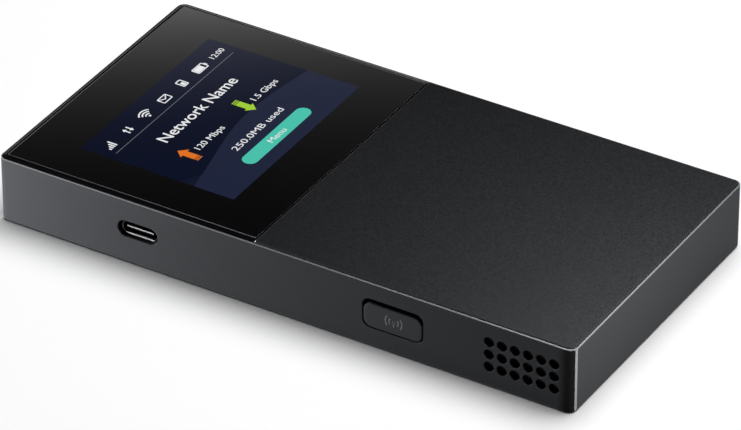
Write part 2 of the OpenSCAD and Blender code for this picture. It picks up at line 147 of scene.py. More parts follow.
def softbox(name, place, aim, size, power):
    """Area lamp at one point, turned so that its face looks at another point.

    Its own Z axis is (place - aim) / |place - aim|, because a lamp shines along -Z."""
    data = bpy.data.lights.new(name, "AREA")
    data.shape = "RECTANGLE"
    data.size, data.size_y = size
    data.energy = power
    lamp = bpy.data.objects.new(name, data)
    away = np.array(place, float) - np.array(aim, float)
    away /= np.linalg.norm(away)
    side = np.cross([0.0, 0.0, 1.0], away)
    across = np.linalg.norm(side)
    side = side / across if across > 1e-6 else np.array([1.0, 0.0, 0.0])
    lamp.matrix_world = matrix_of([side, np.cross(away, side), away], place)
    lamp.visible_camera = False
    lamp.visible_glossy = False
    bpy.context.scene.collection.objects.link(lamp)
    return lamp


softbox("overhead_box", (0.16, 0.26, 1.10), (0.02, 0.0, 0.0), (1.0, 1.0), 19.8)
near_boxes = [
    softbox("left_box", (-0.16, -0.115, 0.008), (-0.05, -0.036, 0.008), (0.06, 0.014), 5.0),
    softbox("right_box", (0.125, -0.036, 0.090), (0.05, 0.0, 0.012), (0.02, 0.02), 1.8),
    softbox("rear_box", (-0.03, 0.17, 0.008), (-0.02, 0.036, 0.008), (0.12, 0.014), 3.0),
    softbox("under_box", (0.0, 0.0, -0.35), (0.0, 0.0, 0.0), (0.07, 0.07), 8.0),
]
world = bpy.data.worlds.new("studio")
world.use_nodes = True
world.node_tree.nodes["Background"].inputs["Color"].default_value = (0.01, 0.01, 0.011, 1.0)
bpy.context.scene.world = world
bpy.context.scene.view_settings.view_transform = "Standard"

# %% [markdown]
# ## Shader maths as Python
# A material is a graph of nodes, and a graph is tedious to wire by hand. `Wire`
# wraps one output socket and gives it Python's operators, so `1 - mask` adds the
# Subtract node it needs. `Paint` owns one material, and its `add` makes any node.

# %% Wires and paints


class Wire:
    """One output socket; arithmetic on it adds Math nodes to its paint."""

    def __init__(self, paint, socket):
        self.paint = paint
        self.socket = socket

    def math(self, operation, *values):
        """Adds a Math node that takes the given numbers or wires in order."""
        return self.paint.add("ShaderNodeMath", {"operation": operation}, dict(enumerate(values)))

    def __add__(self, other):
        return self.math("ADD", self, other)

    def __sub__(self, other):
        return self.math("SUBTRACT", self, other)

    def __rsub__(self, other):
        return self.math("SUBTRACT", other, self)

    def __mul__(self, other):
        return self.math("MULTIPLY", self, other)

    def __truediv__(self, other):
        return self.math("DIVIDE", self, other)

    def __gt__(self, other):
        return self.math("GREATER_THAN", self, other)

    def __abs__(self):
        return self.math("ABSOLUTE", self)

    def sine(self):
        """Sine of the value, which is in radians."""
        return self.math("SINE", self)

    def step(self, low, high):
        """0 below low, 1 above high, and a straight ramp between."""
        names = {"Value": self, "From Min": low, "From Max": high}
        return self.paint.add("ShaderNodeMapRange", {"clamp": True}, names)

    __radd__ = __add__
    __rmul__ = __mul__


class Paint:
    """A material being mixed: constants go on its Principled shader, wires into it."""

    def __init__(self, name, **constants):
        self.material = bpy.data.materials.new(name)
        self.material.use_nodes = True
        self.tree = self.material.node_tree
        self.shader = self.tree.nodes["Principled BSDF"]
        self.position = self.add("ShaderNodeTexCoord", output="Object")
        self.set(**constants)

    def plug(self, socket, value):
        """Links a wire into a socket, or writes a number or a colour on it."""
        if isinstance(value, Wire):
            self.tree.links.new(value.socket, socket)
        elif socket.type == "RGBA":
            socket.default_value = (*value[:3], 1.0)
        else:
            socket.default_value = value

    def set(self, **sockets):
        """Fills sockets of the shader; base_color stands for Base Color, and so on."""
        for name, value in sockets.items():
            label = name.replace("_", " ").title().replace("Ior", "IOR")
            self.plug(self.shader.inputs[label], value)
        return self

    def add(self, kind, settings=None, sockets=None, output=0):
        """Adds any node: its settings first, then the values or wires of its sockets."""
        node = self.tree.nodes.new(kind)
        for name, value in (settings or {}).items():
            setattr(node, name, value)
        for name, value in (sockets or {}).items():
            self.plug(node.inputs[name], value)
        return Wire(self, node.outputs[output])

    def axes(self):
        """The object's own X, Y and Z in millimetres, as three wires."""
        split = self.add("ShaderNodeSeparateXYZ", None, {0: self.position}).socket.node
        return [Wire(self, output) * (1.0 / MM) for output in split.outputs]

    def noise(self, size, stretch=(1, 1, 1), detail=2.0, rough=0.5):
        """Noise whose blobs are about size millimetres across, longer along stretched axes."""
        scale = tuple(1.0 / (size * MM * s) for s in stretch)
        mapped = self.add("ShaderNodeMapping", None, {"Vector": self.position, "Scale": scale})
        names = {"Vector": mapped, "Scale": 1.0, "Detail": detail, "Roughness": rough}
        return self.add("ShaderNodeTexNoise", None, names)

    def mix(self, factor, first, second):
        """Colour that goes from first to second as factor goes from 0 to 1."""
        return self.add("ShaderNodeMix", {"data_type": "RGBA"}, {0: factor, 6: first, 7: second}, 2)

    def tint(self, factor, first, second):
        """Base colour that goes from first to second as factor goes from 0 to 1."""
        return self.set(base_color=self.mix(factor, first, second))

    def bump(self, height, depth):
        """Tilts the surface as if height, from 0 to 1, stood depth millimetres high."""
        names = {"Height": height, "Distance": depth * MM, "Strength": 1.0}
        return self.set(normal=self.add("ShaderNodeBump", None, names))


def shade(colour, factor):
    """The same colour, lighter or darker by a factor."""
    return tuple(c * factor for c in colour)


print("paint box ready")

# %% [markdown]
# ## Three families of finish
# Most parts are moulded plastic or rubber, sheet metal, or film. Plastic takes the
# grain that was etched into its mould, and light handling leaves faint patches in
# the gloss. Rolled metal has fine lines along the rolling. So each family is one
# function, and a part only says how coarse, how dark and how rough it is.

# %% Moulded plastic and rolled metal
PAINTS = {}


def moulded(slot, colour, rough, grain=0.3, depth=0.004, mottle=0.12, speckle=0.3, **constants):
    """Plastic or rubber: fine grain as bump, broad patches in colour and gloss.

    The body colour is kept on the paint, so that a later step can mix edges into it."""
    paint = Paint(slot, **constants)
    fine = paint.noise(grain, detail=1.0)
    broad = paint.noise(9.0, detail=3.0)
    patch = (broad - 0.5) * 2.0 * mottle
    tone = 0.5 + patch + (fine - 0.5) * speckle
    paint.body = paint.mix(tone, shade(colour, 0.7), shade(colour, 1.3))
    paint.set(base_color=paint.body)
    paint.set(roughness=rough + patch * 0.3 + (fine - 0.5) * 0.08)
    PAINTS[slot] = paint.bump(fine, depth)
    return paint


def rolled(slot, colour, rough, lines=(14, 1, 1), size=0.12, depth=0.002, **constants):
    """Bare metal: noise drawn out along the rolling makes its fine lines."""
    paint = Paint(slot, metallic=1.0, **constants)
    scratch = paint.noise(size, stretch=lines, detail=2.0)
    stain = paint.noise(6.0, detail=3.0)
    paint.tint(stain, shade(colour, 0.82), shade(colour, 1.08))
    paint.set(roughness=rough + (scratch - 0.5) * 0.18 + (stain - 0.5) * 0.1)
    PAINTS[slot] = paint.bump(scratch, depth)
    return paint


moulded("frame_paint", (0.0049, 0.0051, 0.0055), 0.42, grain=0.3, depth=0.004, mottle=0.06,
        speckle=0.9, specular_ior_level=0.03)
moulded("cover_matte", (0.0033, 0.0034, 0.0036), 0.55, grain=0.42, depth=0.016, mottle=0.04,
        speckle=1.8, specular_ior_level=0.03)
moulded("gasket_foam", (0.012, 0.012, 0.013), 0.85, grain=0.5, depth=0.06)
moulded("light_guide", (0.78, 0.80, 0.82), 0.35, grain=1.0, depth=0.002)
moulded("chassis_plastic", (0.045, 0.047, 0.05), 0.5, grain=0.35, depth=0.012)
moulded("rear_plastic", (0.010, 0.0103, 0.011), 0.5, grain=0.4, depth=0.03, speckle=0.8,
        specular_ior_level=0.2)
moulded("battery_wrap", (0.009, 0.0094, 0.0102), 0.42, grain=1.6, depth=0.02,
        specular_ior_level=0.2)
moulded("black_moulding", (0.012, 0.012, 0.013), 0.38, grain=0.3, depth=0.004)
moulded("thermal_gel", (0.24, 0.36, 0.42), 0.6, grain=0.8, depth=0.03)
moulded("flap_rubber", (0.0055, 0.0057, 0.0061), 0.5, grain=0.14, depth=0.003, mottle=0.05,
        specular_ior_level=0.05)
moulded("ptfe", (0.80, 0.79, 0.75), 0.45, grain=0.4, depth=0.003)
moulded("button_plastic", (0.0065, 0.0067, 0.0072), 0.42, grain=0.16, depth=0.002,
        specular_ior_level=0.06)
rolled("stamped_steel", (0.55, 0.56, 0.58), 0.34)
rolled("gold_contact", (0.83, 0.62, 0.28), 0.25, lines=(1, 10, 1), size=0.06)
rolled("sink_aluminium", (0.66, 0.67, 0.69), 0.36, lines=(1, 20, 1))
rolled("shell_steel", (0.16, 0.165, 0.17), 0.34, lines=(1, 12, 1), size=0.08)
rolled("screw_steel", (0.30, 0.31, 0.33), 0.32, lines=(1, 1, 1), size=0.2)
print(len(PAINTS), "finishes")

# %% [markdown]
# ## Finishes with a pattern of their own
# The rest need their own recipes: polished glass with faint smears, a circuit board
# whose copper shows through its green mask, a woven dust screen, and so on.

# %% Glass, screens and films


def polished(name, **constants):
    """Screen surface: roughness 0.04, and up to 0.08 where a broad faint smear lies."""
    paint = Paint(name, **constants)
    haze = paint.noise(10.0, detail=3.0)
    return paint.set(roughness=0.04 + haze.step(0.5, 0.9) * 0.04)


glass = Paint("lens_black")
smear = glass.noise(14.0, stretch=(1.0, 2.5, 1.0), detail=4.0)
PAINTS["lens_black"] = glass.set(roughness=0.03 + smear.step(0.5, 0.8) * 0.05)

PAINTS["screen_glass"] = polished("screen_glass", base_color=(0.004, 0.005, 0.012))

film = Paint("polyimide")
track = (film.axes()[1] * 9.0).sine() > 0.2
film.tint(track, (0.62, 0.30, 0.06), (0.78, 0.45, 0.14))
PAINTS["polyimide"] = film.set(roughness=0.3 + film.noise(0.8) * 0.15).bump(track, 0.01)

mesh_paint = Paint("screen_mesh")
WEAVE = 12.0
x, _, z = mesh_paint.axes()
weave = abs((x * WEAVE).sine()) * abs((z * WEAVE).sine())
mesh_paint.tint(weave, (0.002, 0.002, 0.002), (0.012, 0.012, 0.013))
PAINTS["screen_mesh"] = mesh_paint.set(roughness=0.7 - weave * 0.2).bump(weave, 0.05)

board = Paint("board_mask", coat_weight=0.4)
x, y, _ = board.axes()
lanes = ((x + (y * 0.35).sine() * 1.4) * 5.0).sine() > 0.55
islands = board.noise(5.0, detail=0.0).step(0.48, 0.5)
copper = lanes * islands
board.tint(copper, (0.008, 0.085, 0.03), (0.02, 0.17, 0.06))
PAINTS["board_mask"] = board.set(roughness=0.42 - copper * 0.1).bump(copper, 0.03)

sheet = Paint("graphite", metallic=0.6)
flake = sheet.noise(0.5, detail=4.0)
sheet.tint(flake, (0.03, 0.03, 0.032), (0.10, 0.10, 0.105))
PAINTS["graphite"] = sheet.set(roughness=0.38 + flake * 0.2).bump(flake, 0.01)

label = Paint("label_film")
stripe = abs(label.axes()[0] + 26.0).step(27.0, 27.2)
fibre = label.noise(0.4, stretch=(3, 1, 1), detail=3.0)
label.tint(stripe, (0.26, 0.265, 0.27), (0.03, 0.10, 0.14))
PAINTS["label_film"] = label.set(roughness=0.34 + fibre * 0.12).bump(fibre, 0.004)

pale = Paint("card_plastic")
grain = pale.noise(0.3, detail=2.0)
pale.tint(grain, (0.19, 0.19, 0.18), (0.24, 0.24, 0.23))
PAINTS["card_plastic"] = pale.set(roughness=0.35 + grain * 0.1).bump(grain, 0.003)
print(len(PAINTS), "finishes in all")

# %% [markdown]
# ## Edges that catch the light
# Light and shade are painted into the colour here. A painted highlight runs along the thin
# lip of the frame and on one flank of each upright corner, and painted shade lies dark
# on the other flank and along the front and back walls beside it. The glass has a
# painted highlight, a hair-fine line where its curve begins, and the matte cover has a
# painted highlight along its seam edge, brightest at its front tip. Each is a mask in
# the object's own millimetres, mixed into the body colour.

# %% Mix the painted highlights and shade in
cover_low, cover_high = cad_box("top_cover")
glass_low, glass_high = cad_box("cover_glass")
HALF_LENGTH, HALF_WIDTH = LENGTH / 2, WIDTH / 2
LIP_HIGHLIGHT_BAND = 0.13
FLANK_START, FLANK_END, FLANK_SHIFT, FLANK_DEEP = 2.6, 0.6, 1.2, 1.0
LINE_LONG, LINE_WIDE = 0.4, 1.6
case = PAINTS["frame_paint"]
x, y, z = case.axes()
# Painted shade: a dark band on the front and back walls near each end, beside the corner highlight,
# strongest at the +X end.
painted_shade_flank = abs(x + FLANK_SHIFT).step(HALF_LENGTH - FLANK_START, HALF_LENGTH - FLANK_END)
painted_shade_flank = painted_shade_flank * (abs(y) > HALF_WIDTH - FLANK_DEEP)
# Painted highlight: a bright upright line on the end-wall flank of each corner.
corner_highlight = (abs(x) > HALF_LENGTH - LINE_LONG) * (abs(y) > HALF_WIDTH - LINE_WIDE)
body_with_painted_light = case.mix(corner_highlight, case.body, (0.034, 0.0345, 0.036))
body_with_painted_light = case.mix(painted_shade_flank, body_with_painted_light, (0.0010, 0.0010, 0.0011))
# Painted highlight: a lighter band along the frame's top lip, laid over the painted highlight and shade
# mixed in above.
case.tint(z > FRAME_TOP - LIP_HIGHLIGHT_BAND, body_with_painted_light, (0.022, 0.0223, 0.023))

CURVE_BAND, FLAT_BAND = 0.012, 0.0008
z = glass.axes()[2]
# Painted highlight: a hair-fine lighter line just below the glass top, where its curve begins.
crown_highlight = (z > glass_high[2] - CURVE_BAND) * (1 - (z > glass_high[2] - FLAT_BAND))
glass.tint(crown_highlight, (0.0004, 0.0004, 0.0005), (0.03, 0.03, 0.032))

SEAM_BAND, TIP_BAND = 0.24, 0.4
cover = PAINTS["cover_matte"]
x, y, _ = cover.axes()
# Painted highlight: a lighter line along the cover's seam edge, and a brighter painted glint at its
# front tip.
seam_highlight = 1 - (x > cover_low[0] + SEAM_BAND)
seam_tip_glint = seam_highlight * (1 - (y > cover_low[1] + TIP_BAND))
lit_seam_colour = cover.mix(seam_highlight, cover.body, (0.034, 0.034, 0.035))
cover.tint(seam_tip_glint, lit_seam_colour, (0.12, 0.12, 0.12))
print("edges mixed into three finishes")

# %% [markdown]
# ## Dressing the CAD nodes
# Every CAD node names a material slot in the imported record. A loop hands each one
# the finish of that slot. Nodes are never moved or reshaped.

# %% Hand out the finishes
for part in frame["record"]["subparts"]:
    node = frame["nodes"][part["node"]]
    node.data.materials.clear()
    node.data.materials.append(PAINTS[part["material_slot"]].material)
print("dressed", len(frame["nodes"]), "CAD nodes")

# %% [markdown]
# ## Surfaces from outlines and profiles
# A case is a small profile carried round a large outline: the outline is a rounded
# rectangle with an outward normal at every point, and the profile says how far out
# and how high each line of the surface runs. Flat areas are filled with triangles
# that leave out the holes. Everything is worked out as whole arrays.

# %% Outlines, profiles and shells
SUPPORT = 0.05
CORNER_STEPS = 8


def rounded_outline(length, width, radius, centre=(0.0, 0.0), steps=CORNER_STEPS):
    """Rounded rectangle, anticlockwise from the +a side.

    Each corner is a quarter circle, point = corner centre + radius * (cos t, sin t),
    and the straight sides join the arcs. Returns the points and the outward normals,
    which are (cos t, sin t). Radius may be four values, from the +a +b corner on."""
    radii = np.broadcast_to(radius, 4).astype(float)
    angle = np.radians(np.array([[0], [90], [180], [270]]) + np.linspace(0, 90, steps + 1))
    normals = np.stack([np.cos(angle), np.sin(angle)], -1)
    signs = np.array([[1, 1], [-1, 1], [-1, -1], [1, -1]])
    corners = signs * (np.array([length, width]) / 2 - radii[:, None])
    points = corners[:, None] + radii[:, None, None] * normals
    return points.reshape(-1, 2) + centre, normals.reshape(-1, 2)


def disc(across, centre, steps=CORNER_STEPS):
    """Circle as a rounded rectangle whose corners meet: its radius is half its width."""
    return rounded_outline(across, across, across / 2, centre, steps)


def bend(centre, radius, start, end, steps=6):
    """Arc of a profile: centre + radius * (cos t, sin t), t in degrees from start to end."""
    angle = np.radians(np.linspace(start, end, steps + 1))
    return np.array(centre) + radius * np.stack([np.cos(angle), np.sin(angle)], 1)


def side(low, high, low_edge, high_edge):
    """Profile of a slab's side, from its underside to its top, with both edges rounded.

    The lines next to each arc lie flat in the faces, so smooth shading stays level."""
    return np.vstack([
        [-low_edge - SUPPORT, low],
        bend((-low_edge, low + low_edge), low_edge, -90, 0),
        [0, low + low_edge + SUPPORT],
        [0, high - high_edge - SUPPORT],
        bend((-high_edge, high - high_edge), high_edge, 0, 90),
        [-high_edge - SUPPORT, high],
    ])


def carry(outline, profile):
    """Carries a profile round an outline.

    Row v, column u is outline(u) + offset(v) * normal(u), at height(v)."""
    points, normals = outline
    profile = np.asarray(profile, float)
    flat = points[None] + profile[:, None, :1] * normals[None]
    height = np.broadcast_to(profile[:, None, 1:], flat.shape[:2] + (1,))
    return np.concatenate([flat, height], -1)


def lying(p):
    """Outline in X and Y, height along Z."""
    return p


def in_front(p):
    """Outline in X and Z, depth inwards from the front wall."""
    return np.stack([p[..., 0], FRONT + p[..., 2], p[..., 1]], -1)


def in_back(p):
    """Outline in X and Z, depth inwards from the back wall."""
    return np.stack([p[..., 0], BACK - p[..., 2], p[..., 1]], -1)


def within(spots, edges):
    """True for spots inside the loops: a ray along +a crosses an odd number of edges."""
    (pa, pb), (qa, qb) = edges[:, 0].T, edges[:, 1].T
    a, b = spots[:, :1], spots[:, 1:]
    level_b = np.where(qb == pb, 1.0, qb - pb)
    crossed = ((pb > b) != (qb > b)) & (a < (qa - pa) * (b - pb) / level_b + pa)
    return crossed.sum(1) % 2 == 1


class Shell:
    """Grids and flat caps, in millimetres, that close up into one mesh."""

    def __init__(self, place=lying):
        self.place = place
        self.points = []
        self.faces = []
        self.count = 0

    def take(self, points, faces, place=None):
        """Adds points with the faces that index them."""
        self.points.append((place or self.place)(points))
        self.faces.extend((np.asarray(faces) + self.count).tolist())
        self.count += len(points)

    def grid(self, rows, place=None, keep=None, wrap=True):
        """Joins neighbouring rows with quads; keep lists the columns to fill."""
        index = np.arange(rows.shape[0] * rows.shape[1]).reshape(rows.shape[:2])
        if wrap:
            index = np.hstack([index, index[:, :1]])
        quads = np.stack([index[:-1, :-1], index[:-1, 1:], index[1:, 1:], index[1:, :-1]], -1)
        if keep is not None:
            quads = quads[:, keep]
        self.take(rows.reshape(-1, 3), quads.reshape(-1, 4), place)

    def cap(self, loop, height, holes=(), place=None):
        """Fills a flat outline at one height with triangles that leave out its holes."""
        loops = [np.asarray(one, float)[:, :2] for one in (loop, *holes)]
        sizes = [len(one) for one in loops]
        starts = np.cumsum([0, *sizes[:-1]])
        edges = np.vstack([
            np.stack([np.arange(n), np.roll(np.arange(n), -1)], 1) + at
            for n, at in zip(sizes, starts)
        ])
        made = delaunay_2d_cdt(np.vstack(loops).tolist(), edges.tolist(), [], 1, 1e-6)
        flat = np.array([v[:] for v in made[0]])
        triangles = np.array(made[2])
        filled = within(flat[triangles].mean(1), np.vstack(loops)[edges])
        corners = np.column_stack([flat, np.full(len(flat), float(height))])
        self.take(corners, triangles[filled], place)

    def slab(self, outline, profile, first_holes=(), last_holes=(), place=None):
        """Carries a profile round an outline and caps both its ends, less their holes."""
        rows = carry(outline, profile)
        self.grid(rows, place)
        self.cap(rows[0], rows[0, 0, 2], first_holes, place)
        self.cap(rows[-1], rows[-1, 0, 2], last_holes, place)

    def wall(self, loop, low, high, place=None):
        """Straight wall along a closed loop, (a, b, low) to (a, b, high)."""
        self.grid(np.stack([np.column_stack([loop, np.full(len(loop), h)]) for h in (low, high)]), place)

    def finish(self, name, body, slot, replaces=(), crease=32.0, paint=None):
        """Makes the mesh in metres, merges doubles, turns faces outwards, and rides it."""
        mesh = bpy.data.meshes.new(name)
        mesh.from_pydata((np.vstack(self.points) * MM).tolist(), [], self.faces)
        work = bmesh.new()
        work.from_mesh(mesh)
        bmesh.ops.remove_doubles(work, verts=work.verts, dist=2e-7)
        bmesh.ops.recalc_face_normals(work, faces=work.faces)
        open_edges = sum(1 for e in work.edges if len(e.link_faces) != 2)
        work.to_mesh(mesh)
        work.free()
        mesh.shade_smooth()
        mesh.set_sharp_from_angle(angle=math.radians(crease))
        mesh.materials.append((paint or PAINTS[slot]).material)
        piece = bpy.data.objects.new(name, mesh)
        bpy.context.scene.collection.objects.link(piece)
        if body:
            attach(piece, body)
        if replaces:
            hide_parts(*replaces)
        print(f"{name}: {len(mesh.polygons)} faces, {open_edges} open edges")
        return piece


def opening(shell, place, outline, edge, depth):
    """Rounds the rim of a hole and runs its bore to a depth.

    The rim is a quarter circle from the face into the bore. Returns the loops that
    the hole leaves in the outer face and in the face at the bore's end."""
    rim = np.vstack([
        [edge + SUPPORT, 0],
        bend((edge, edge), edge, 270, 180, steps=4),
        [0, edge + SUPPORT],
        [0, depth],
    ])
    rows = carry(outline, rim)
    shell.grid(rows, place)
    return rows[0], rows[-1]


def rectangle(x0, x1, z0, z1):
    """Four corners, anticlockwise."""
    return np.array([[x0, z0], [x1, z0], [x1, z1], [x0, z1]], float)


print("shell tools ready")

# %% [markdown]
# ## Side frame
# One moulded band makes all four walls. Its section is a thin wall with a rounded
# foot, a ledge for the top pieces and a seat for the rear cover. The two long walls
# are pierced by ports, so there the section's flat faces give way to filled faces
# with holes, and every hole gets a small rounded rim that catches the light.

# %% The frame's measures
WALL = 1.6
CORNER = 1.8
FOOT = 0.6
LIP = 0.35
SEAT = 0.9
SEAT_TOP = 1.2
LEDGE = glass_low[2] - 0.4
TOP_EDGE = 0.14
flap_low, flap_high = cad_box("antenna_flap")
button_low, button_high = cad_box("power_button")
usb_low, usb_high = cad_box("usb_shell")
sim_low, sim_high = cad_box("sim_tray")
USB_X, _, USB_Z = (usb_low + usb_high) / 2
FLAP_X, _, FLAP_Z = (flap_low + flap_high) / 2
BUTTON_X, _, BUTTON_Z = (button_low + button_high) / 2
RESET_X = -24.0
SIM_X, SIM_Z = (sim_low[0] + sim_high[0]) / 2, 9.25
POCKET = 2.2
SOCKET_Z = 7.9
SOCKETS = (FLAP_X - 3.6, FLAP_X + 3.6)
SOCKET_BORE = 4.4
PORT_W, PORT_H = 9.8, 3.95
POCKET_W, POCKET_R = 14.4, 1.9
BLOCK_HALF, BLOCK_LOW, BLOCK_HIGH, BLOCK_DEPTH = 9.05, 3.3, 12.7, 4.5
BUTTON_HOLE_W, BUTTON_HOLE_H, BUTTON_DEPTH = 11.3, 3.3, WALL + 0.79
CARD_HOLE_W, CARD_HOLE_H = 13.2, 2.2
PINHOLE = 1.5
print("port at", USB_X.round(2), USB_Z.round(2), "flap at", FLAP_X.round(2))

# %% Build the side frame


def vent_outlines(place_x=57.0, place_z=7.8, across=2.35, pitch=3.0):
    """Six by three round holes, at even pitch about the middle of the field."""
    columns = place_x + (np.arange(6) - 2.5) * pitch
    rows = place_z + (np.arange(3) - 1.0) * pitch
    return [disc(across, (a, b), steps=7) for a in columns for b in rows]


def long_wall(shell, place, plain, deep):
    """One long wall: outer and inner face, plain holes, and holes with a block behind.

    A deep hole is (outline, rim, depth, block rectangle, block depth, further bores)."""
    x1 = HALF_LENGTH - CORNER
    outer_holes = []
    inner_holes = []
    for outline, edge in plain:
        outer, inner = opening(shell, place, outline, edge, WALL)
        outer_holes.append(outer)
        inner_holes.append(inner)
    for outline, edge, depth, block, block_depth, bores in deep:
        outer, floor = opening(shell, place, outline, edge, depth)
        outer_holes.append(outer)
        inner_holes.append(block)
        shell.wall(block, WALL, block_depth, place)
        ends = [carry(bore, [[0, depth], [0, block_depth]]) for bore in bores]
        for rows in ends:
            shell.grid(rows, place)
        if bores:
            shell.cap(floor, depth, [rows[0] for rows in ends], place)
            shell.cap(block, block_depth, [rows[-1] for rows in ends], place)
        else:
            shell.cap(block, block_depth, [floor], place)
    low, high = FOOT + SUPPORT, FRAME_TOP - TOP_EDGE - SUPPORT
    shell.cap(rectangle(-x1, x1, low, high), 0.0, outer_holes, place)
    shell.cap(rectangle(-x1, x1, SEAT_TOP + SUPPORT, LEDGE - SUPPORT), WALL, inner_holes, place)


band = Shell()
outline = rounded_outline(LENGTH, WIDTH, CORNER)
long_columns = [CORNER_STEPS, 3 * CORNER_STEPS + 2]
short_columns = [c for c in range(len(outline[0])) if c not in long_columns]
foot_line = np.vstack([
    [-SEAT, SEAT_TOP], [-SEAT, 0.0], [-FOOT - SUPPORT, 0.0],
    bend((-FOOT, FOOT), FOOT, -90, 0, steps=8), [0, FOOT + SUPPORT],
])
lip_line = np.vstack([
    [0, FRAME_TOP - TOP_EDGE - SUPPORT],
    bend((-TOP_EDGE, FRAME_TOP - TOP_EDGE), TOP_EDGE, 0, 90, steps=4),
    [-LIP, FRAME_TOP], [-LIP, LEDGE], [-WALL, LEDGE], [-WALL, LEDGE - SUPPORT],
])
band.grid(carry(outline, foot_line))
band.grid(carry(outline, [foot_line[-1], lip_line[0]]), keep=short_columns)
band.grid(carry(outline, lip_line))
band.grid(carry(outline, [lip_line[-1], [-WALL, SEAT_TOP + SUPPORT]]), keep=short_columns)
band.grid(carry(outline, [[-WALL, SEAT_TOP + SUPPORT], [-WALL, SEAT_TOP], [-SEAT, SEAT_TOP]]))

port_hole = (rounded_outline(PORT_W, PORT_H, PORT_H / 2 - 0.01, (USB_X, USB_Z), steps=10), 0.18)
vents = [(one, 0.12) for one in vent_outlines()]
pocket_low, pocket_high = flap_low[2] - 0.12, flap_high[2] + 1.15
pocket = rounded_outline(
    POCKET_W, pocket_high - pocket_low, POCKET_R, (FLAP_X, (pocket_low + pocket_high) / 2)
)
bores = [disc(SOCKET_BORE, (x, SOCKET_Z)) for x in SOCKETS]
block = rectangle(FLAP_X - BLOCK_HALF, FLAP_X + BLOCK_HALF, BLOCK_LOW, BLOCK_HIGH)
long_wall(band, in_front, [port_hole, *vents], [(pocket, 0.16, POCKET, block, BLOCK_DEPTH, bores)])

button_hole = rounded_outline(BUTTON_HOLE_W, BUTTON_HOLE_H, 1.5, (BUTTON_X, BUTTON_Z))
button_seat = rectangle(BUTTON_X - 7, BUTTON_X + 7, BUTTON_Z - 3, BUTTON_Z + 3)
reset_hole = (disc(PINHOLE, (RESET_X, BUTTON_Z)), 0.15)
card_hole = (rounded_outline(CARD_HOLE_W, CARD_HOLE_H, 1.0, (SIM_X, SIM_Z)), 0.12)
long_wall(
    band, in_back, [reset_hole, card_hole, *vents],
    [(button_hole, 0.14, BUTTON_DEPTH, button_seat, BUTTON_DEPTH, [])],
)
band.finish("side_band", "root", "frame_paint", ["side_frame"])

# %% [markdown]
# ## Display glass
# The glass ends in a soft curve on three sides, which gives such a screen its bright
# outline, together with a painted highlight in the glass's colour where the curve
# begins. The curve is an arc as wide as the crown, tangent to the flat top. On the
# fourth side the glass meets the matte cover, with a fine bevel.

# %% Build the glass
CROWN_W = 1.22
CROWN_H = 0.4
BEVEL = 0.08


def open_outline(end_x, low_x, width, radius, bevel):
    """Three sides of a rounded rectangle, open at end_x, with a short last step at each end.

    The last step is bevel long, and the third array is how far it shrinks the section."""
    points, normals = rounded_outline(2 * abs(low_x), width, radius)
    left = slice(CORNER_STEPS + 1, 3 * (CORNER_STEPS + 1))
    hw = width / 2
    first = np.array([[end_x, hw], [end_x - bevel, hw]])
    points = np.vstack([first, points[left], first[::-1] * [1, -1]])
    normals = np.vstack([[[0, 1], [0, 1]], normals[left], [[0, -1], [0, -1]]])
    shrink = np.zeros(len(points))
    shrink[[0, -1]] = bevel
    return points, normals, shrink


points, normals, shrink = open_outline(
    glass_high[0], glass_low[0], glass_high[1] - glass_low[1], 1.3, BEVEL
)
crown_r = (CROWN_W ** 2 + CROWN_H ** 2) / (2 * CROWN_H)
crown_end = math.degrees(math.acos(CROWN_W / crown_r))
profile = np.vstack([
    [-0.15, glass_low[2]], [0, glass_low[2] + 0.1],
    bend((-CROWN_W, glass_high[2] - crown_r), crown_r, crown_end, 90, steps=9),
    [-CROWN_W - SUPPORT, glass_high[2]],
])
rows = carry((points, normals), profile)
rows[..., :2] -= shrink[None, :, None] * normals[None]
rows[..., 2] = np.maximum(rows[..., 2] - shrink[None], glass_low[2])
lens = Shell()
lens.grid(rows, wrap=False)
lens.cap(rows[-1, 1:-1], glass_high[2])
lens.cap(rows[0], glass_low[2])
lens.take(rows[-1, [0, 1, -2, -1]], [[0, 1, 2, 3]])
seam_face = np.vstack([rows[:, 0], rows[::-1, -1]])
lens.take(seam_face, [np.arange(len(seam_face))])
lens.finish("display_lens", "root", "lens_black", ["cover_glass"])

# %% [markdown]
# ## Matte cover
# The cover is one plate with a rounded edge. Its corners are tight at the seam and
# wide at the far end, so the outline takes four radii. A shallow recess underneath
# leaves room for the antennas.

# %% Build the matte cover
FAR_R, SEAM_R = 1.3, 0.42
cover_l, cover_w, _ = cover_high - cover_low
cover_x = (cover_low[0] + cover_high[0]) / 2
cover_outline = rounded_outline(cover_l, cover_w, (FAR_R, SEAM_R, SEAM_R, FAR_R), (cover_x, 0.0))
RECESS_TOP = LEDGE + 0.25
recess = rectangle(1.0, 63.0, -30.0, 30.0)
matte = Shell()
matte.slab(cover_outline, side(LEDGE, cover_high[2], 0.1, 0.3), [recess])
matte.wall(recess, LEDGE, RECESS_TOP)
matte.cap(recess, RECESS_TOP)
matte.finish("matte_cover", "root", "cover_matte", ["top_cover"])

# %% [markdown]
# ## The lit display
# A display is a stack: background, hills, a button, signs and words. Each layer is
# a very thin plate on the glass, one hundredth of a millimetre above the last, with
# the same polish as the glass, so that reflections run over display and border
# alike. The words are generic. On the screen, u runs to the reader's right and v
# runs up, so a function turns (u, v) to the row frame: right is +Y and up is -X.

# %% Layers of light
panel_low, panel_high = cad_box("lcd_panel")
SCREEN_X, SCREEN_Y, _ = (panel_low + panel_high) / 2
SCREEN_U, SCREEN_V = 50.2, 37.8
GLASS_TOP = glass_high[2]
LAYER = 0.01
UNLIT = {"base_color": (0.0004, 0.0004, 0.0005), "specular_ior_level": 0.15}


